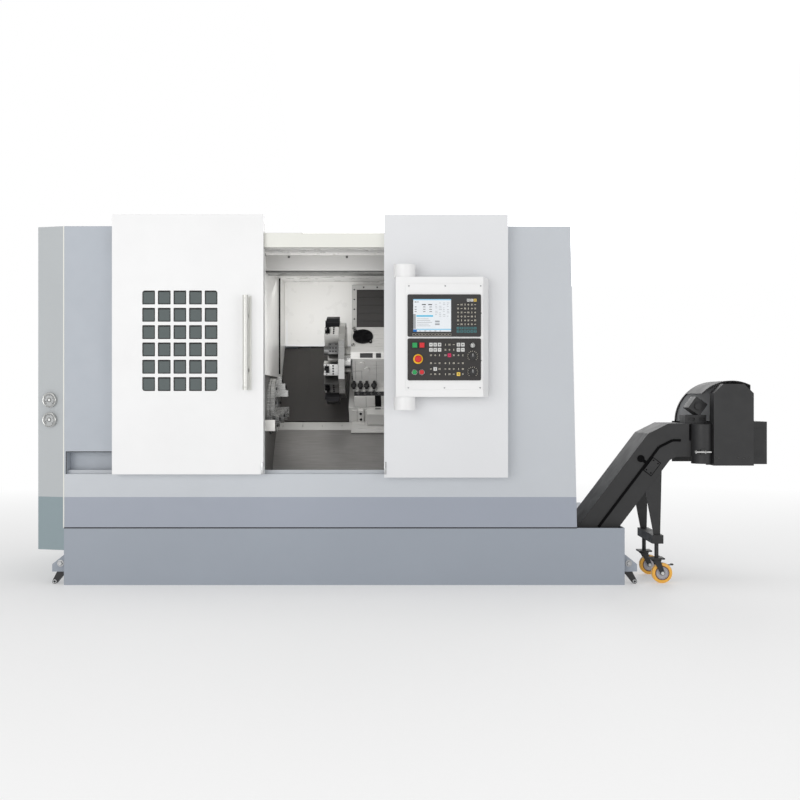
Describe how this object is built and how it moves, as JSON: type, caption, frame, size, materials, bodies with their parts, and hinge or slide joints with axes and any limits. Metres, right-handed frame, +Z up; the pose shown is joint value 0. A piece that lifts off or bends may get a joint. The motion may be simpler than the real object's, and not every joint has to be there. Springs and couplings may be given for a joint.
{
  "type": "cnc slant-bed turning lathe",
  "caption": "Slant-bed turning lathe in a grey sheet enclosure with a sliding door, swivelling control pendant, tool turret, chuck and side-exit chip conveyor.",
  "frame": {"origin": "on the floor under the middle of the machine's bounding box", "axes": "+X to the right along the spindle towards the chip conveyor, +Y to the rear, +Z up"},
  "size_m": [3.9502, 2.11, 1.97],
  "materials": {
    "light_grey_paint": "satin powder coat",
    "base_grey_paint": "satin powder coat",
    "white_paint": "satin powder coat",
    "stainless_sheet": "brushed",
    "dark_steel": "dark oxide",
    "cast_iron": "painted casting",
    "bright_steel": "ground",
    "black_paint": "satin powder coat",
    "black_plastic": "fine grain",
    "screen_glass": "lit screen",
    "window_glass": "tinted",
    "red_plastic": "gloss",
    "green_plastic": "gloss",
    "belt_rubber": "matt",
    "castor_tread": "cast polyurethane"
  },
  "bodies": {
    "root": {"base_tray": "base_grey_paint", "levelling_feet": "black_paint", "slant_bed": "cast_iron", "headstock": "cast_iron", "front_left_panel": "light_grey_paint", "front_sill_panel": "light_grey_paint", "left_end_cover": "light_grey_paint", "right_end_panel": "light_grey_paint", "fixed_front_panel": "white_paint", "roof_panel": "light_grey_paint", "top_beam": "white_paint", "headstock_guard": "stainless_sheet", "rear_guard": "stainless_sheet", "lower_guard": "stainless_sheet", "way_cover_fixed": "dark_steel", "spindle_motor": "cast_iron", "drive_belt": "belt_rubber", "electrical_cabinet": "light_grey_paint", "conveyor_trough": "black_paint", "conveyor_head": "black_paint", "gear_reducer": "dark_steel", "conveyor_stand": "black_paint", "pendant_brackets": "white_paint", "pressure_gauges": "bright_steel"},
    "door": {"door_panel": "white_paint", "door_window": "window_glass", "door_handle": "bright_steel"},
    "pendant": {"pendant_housing": "white_paint", "display_unit": "black_plastic", "display_screen": "screen_glass", "control_panel": "black_plastic"},
    "spindle": {"spindle_shaft": "bright_steel", "chuck_body": "bright_steel"},
    "saddle": {"saddle": "stainless_sheet", "x_way_cover": "dark_steel", "way_cover_outer": "dark_steel"},
    "cross_slide": {"cross_slide": "stainless_sheet", "turret_housing": "stainless_sheet"},
    "turret": {"turret_disc": "bright_steel", "tool_holders": "dark_steel"},
    "emergency_stop": {"emergency_stop": "red_plastic"},
    "power_on_button": {"power_on_button": "green_plastic"},
    "power_off_button": {"power_off_button": "red_plastic"},
    "cycle_start_button": {"cycle_start_button": "green_plastic"},
    "feed_hold_button": {"feed_hold_button": "red_plastic"},
    "key_switch": {"key_switch": "bright_steel"},
    "spindle_override_knob": {"spindle_override_knob": "black_plastic"},
    "feed_override_knob": {"feed_override_knob": "black_plastic"},
    "chuck_jaw_1": {"chuck_jaw_1": "bright_steel"},
    "chuck_jaw_2": {"chuck_jaw_2": "bright_steel"},
    "chuck_jaw_3": {"chuck_jaw_3": "bright_steel"},
    "motor_pulley": {"motor_pulley": "cast_iron"},
    "way_cover_middle": {"way_cover_middle": "dark_steel"},
    "tailstock": {"tailstock": "cast_iron"},
    "tailstock_quill": {"tailstock_quill": "bright_steel"},
    "castor_fork_front": {"castor_fork_front": "black_paint"},
    "castor_wheel_front": {"castor_wheel_front": "castor_tread"},
    "castor_fork_rear": {"castor_fork_rear": "black_paint"},
    "castor_wheel_rear": {"castor_wheel_rear": "castor_tread"},
    "cabinet_door": {"cabinet_door": "light_grey_paint"}
  },
  "joints": [
    {"name": "door_slide", "type": "slide", "parent": "root", "child": "door", "axis": [1, 0, 0], "range_m": [0, 0.635]},
    {"name": "pendant_swivel", "type": "hinge", "parent": "root", "child": "pendant", "pos_m": [-0.00311, -0.947, 1.3], "axis": [0, 0, 1], "range_deg": [-75, 0]},
    {"name": "emergency_stop_press", "type": "slide", "parent": "pendant", "child": "emergency_stop", "axis": [0, 1, 0], "range_m": [0, 0.003], "stiffness_N_per_m": 600},
    {"name": "power_on_press", "type": "slide", "parent": "pendant", "child": "power_on_button", "axis": [0, 1, 0], "range_m": [0, 0.003], "stiffness_N_per_m": 600},
    {"name": "power_off_press", "type": "slide", "parent": "pendant", "child": "power_off_button", "axis": [0, 1, 0], "range_m": [0, 0.003], "stiffness_N_per_m": 600},
    {"name": "cycle_start_press", "type": "slide", "parent": "pendant", "child": "cycle_start_button", "axis": [0, 1, 0], "range_m": [0, 0.003], "stiffness_N_per_m": 600},
    {"name": "feed_hold_press", "type": "slide", "parent": "pendant", "child": "feed_hold_button", "axis": [0, 1, 0], "range_m": [0, 0.003], "stiffness_N_per_m": 600},
    {"name": "key_turn", "type": "hinge", "parent": "pendant", "child": "key_switch", "pos_m": [0.34689, -1.021, 1.271], "axis": [0, 1, 0], "range_deg": [0, 90]},
    {"name": "spindle_override_turn", "type": "hinge", "parent": "pendant", "child": "spindle_override_knob", "pos_m": [0.34689, -1.021, 1.216], "axis": [0, 1, 0], "range_deg": [-135, 135]},
    {"name": "feed_override_turn", "type": "hinge", "parent": "pendant", "child": "feed_override_knob", "pos_m": [0.34689, -1.021, 1.134], "axis": [0, 1, 0], "range_deg": [-135, 135]},
    {"name": "spindle_spin", "type": "hinge", "parent": "root", "child": "spindle", "pos_m": [-0.82511, -0.316, 0.957], "axis": [1, 0, 0], "continuous": true},
    {"name": "jaw_1_slide", "type": "slide", "parent": "spindle", "child": "chuck_jaw_1", "axis": [0, 0, 1], "range_m": [-0.003, 0.003]},
    {"name": "jaw_2_slide", "type": "slide", "parent": "spindle", "child": "chuck_jaw_2", "axis": [0, -0.866, -0.5], "range_m": [-0.003, 0.003]},
    {"name": "jaw_3_slide", "type": "slide", "parent": "spindle", "child": "chuck_jaw_3", "axis": [0, 0.866, -0.5], "range_m": [-0.003, 0.003]},
    {"name": "motor_spin", "type": "hinge", "parent": "root", "child": "motor_pulley", "pos_m": [-1.68511, 0.104, 0.52], "axis": [1, 0, 0], "continuous": true},
    {"name": "saddle_travel", "type": "slide", "parent": "root", "child": "saddle", "axis": [1, 0, 0], "range_m": [-0.15, 0.32]},
    {"name": "way_cover_travel", "type": "slide", "parent": "root", "child": "way_cover_middle", "axis": [1, 0, 0], "range_m": [-0.075, 0.16]},
    {"name": "cross_travel", "type": "slide", "parent": "saddle", "child": "cross_slide", "axis": [0, 0.7071, 0.7071], "range_m": [-0.142, 0.1]},
    {"name": "turret_index", "type": "hinge", "parent": "cross_slide", "child": "turret", "pos_m": [-0.36911, -0.04589, 1.22711], "axis": [1, 0, 0], "continuous": true},
    {"name": "tailstock_travel", "type": "slide", "parent": "root", "child": "tailstock", "axis": [1, 0, 0], "range_m": [-0.2, 0]},
    {"name": "quill_travel", "type": "slide", "parent": "tailstock", "child": "tailstock_quill", "axis": [1, 0, 0], "range_m": [-0.1, 0]},
    {"name": "castor_swivel_front", "type": "hinge", "parent": "root", "child": "castor_fork_front", "pos_m": [1.36189, -0.721, 0.13], "axis": [0, 0, 1], "continuous": true},
    {"name": "castor_roll_front", "type": "hinge", "parent": "castor_fork_front", "child": "castor_wheel_front", "pos_m": [1.38989, -0.721, 0.055], "axis": [0, 1, 0], "continuous": true},
    {"name": "castor_swivel_rear", "type": "hinge", "parent": "root", "child": "castor_fork_rear", "pos_m": [1.36189, -0.411, 0.13], "axis": [0, 0, 1], "continuous": true},
    {"name": "castor_roll_rear", "type": "hinge", "parent": "castor_fork_rear", "child": "castor_wheel_rear", "pos_m": [1.38989, -0.411, 0.055], "axis": [0, 1, 0], "continuous": true},
    {"name": "cabinet_door_hinge", "type": "hinge", "parent": "root", "child": "cabinet_door", "pos_m": [-0.53611, 1.014, 1.1], "axis": [0, 0, 1], "range_deg": [0, 110]}
  ],
  "couplings": [
    {"joint": "jaw_2_slide", "follows": "jaw_1_slide", "ratio": 1},
    {"joint": "jaw_3_slide", "follows": "jaw_1_slide", "ratio": 1},
    {"joint": "motor_spin", "follows": "spindle_spin", "ratio": 1.375},
    {"joint": "way_cover_travel", "follows": "saddle_travel", "ratio": 0.5}
  ]
}
